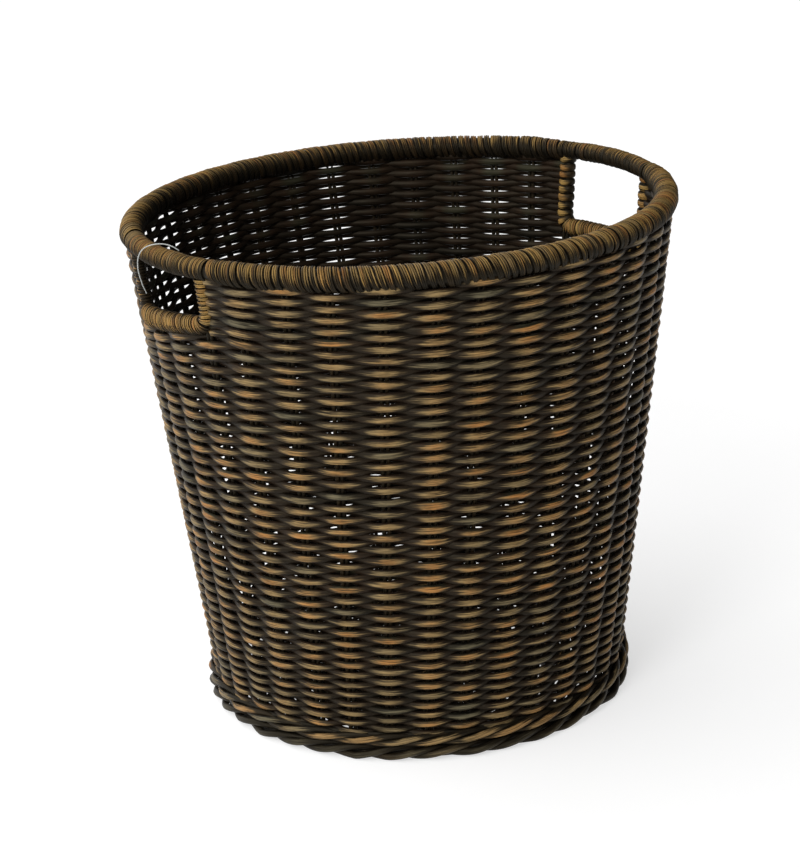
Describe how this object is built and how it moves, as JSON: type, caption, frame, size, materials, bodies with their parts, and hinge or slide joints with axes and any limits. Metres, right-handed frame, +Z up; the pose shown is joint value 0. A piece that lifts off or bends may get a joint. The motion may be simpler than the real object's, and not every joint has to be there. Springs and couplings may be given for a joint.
{
  "type": "wicker log basket",
  "caption": "Round tapered rattan log basket with a thick lashed rim, a wrapped hand hole on each side, an open plain weave over paired stakes and a twisted foot.",
  "frame": {"origin": "centre of the foot's underside, on the floor under the middle of the rim", "axes": "+Z up the basket's axis, +X through the right hand hole, +Y towards the back"},
  "size_m": [0.4512, 0.45, 0.4251],
  "materials": {
    "rubbed_cane": "golden brown split cane, worn satin, darker between the turns",
    "weave_light": "brown stained rattan, rubbed to tan on the outside of each strand",
    "weave_dark": "dark brown stained rattan, lightly rubbed",
    "dark_stake": "near black stained rattan, matt",
    "foot_brown": "dark brown stained rattan, lightly rubbed",
    "clear_nylon": "clear nylon thread, glossy"
  },
  "bodies": {
    "root": {"stake_pair_01": "dark_stake", "stake_pair_02": "dark_stake", "stake_pair_03": "dark_stake", "stake_pair_04": "dark_stake", "stake_pair_05": "dark_stake", "stake_pair_06": "dark_stake", "stake_pair_07": "dark_stake", "stake_pair_08": "dark_stake", "stake_pair_09": "dark_stake", "stake_pair_10": "dark_stake", "stake_pair_11": "dark_stake", "stake_pair_12": "dark_stake", "stake_pair_13": "dark_stake", "stake_pair_14": "dark_stake", "stake_pair_15": "dark_stake", "stake_pair_16": "dark_stake", "stake_pair_17": "dark_stake", "stake_pair_18": "dark_stake", "wall_course_01": "weave_light", "wall_course_02": "weave_dark", "wall_course_03": "weave_light", "wall_course_04": "weave_dark", "wall_course_05": "weave_light", "wall_course_06": "weave_dark", "wall_course_07": "weave_light", "wall_course_08": "weave_dark", "wall_course_09": "weave_light", "wall_course_10": "weave_dark", "wall_course_under_left_hole": "weave_light", "back_course_1": "weave_dark", "back_course_2": "weave_light", "front_course_1": "weave_dark", "front_course_2": "weave_light", "rim_hoop": "dark_stake", "rim_lashing_back": "rubbed_cane", "rim_lashing_front": "rubbed_cane", "rim_coil_right": "rubbed_cane", "rim_coil_left": "rubbed_cane", "handle_bar_right": "dark_stake", "handle_bar_wrap_right": "rubbed_cane", "upright_wrap_right_front": "rubbed_cane", "upright_wrap_right_back": "rubbed_cane", "handle_bar_left": "dark_stake", "handle_bar_wrap_left": "rubbed_cane", "upright_wrap_left_front": "rubbed_cane", "upright_wrap_left_back": "rubbed_cane", "foot_border": "foot_brown", "foot_wale": "foot_brown", "floor_weave_under": "weave_dark", "floor_weave_top": "weave_dark", "tag_loop": "clear_nylon"}
  },
  "joints": []
}
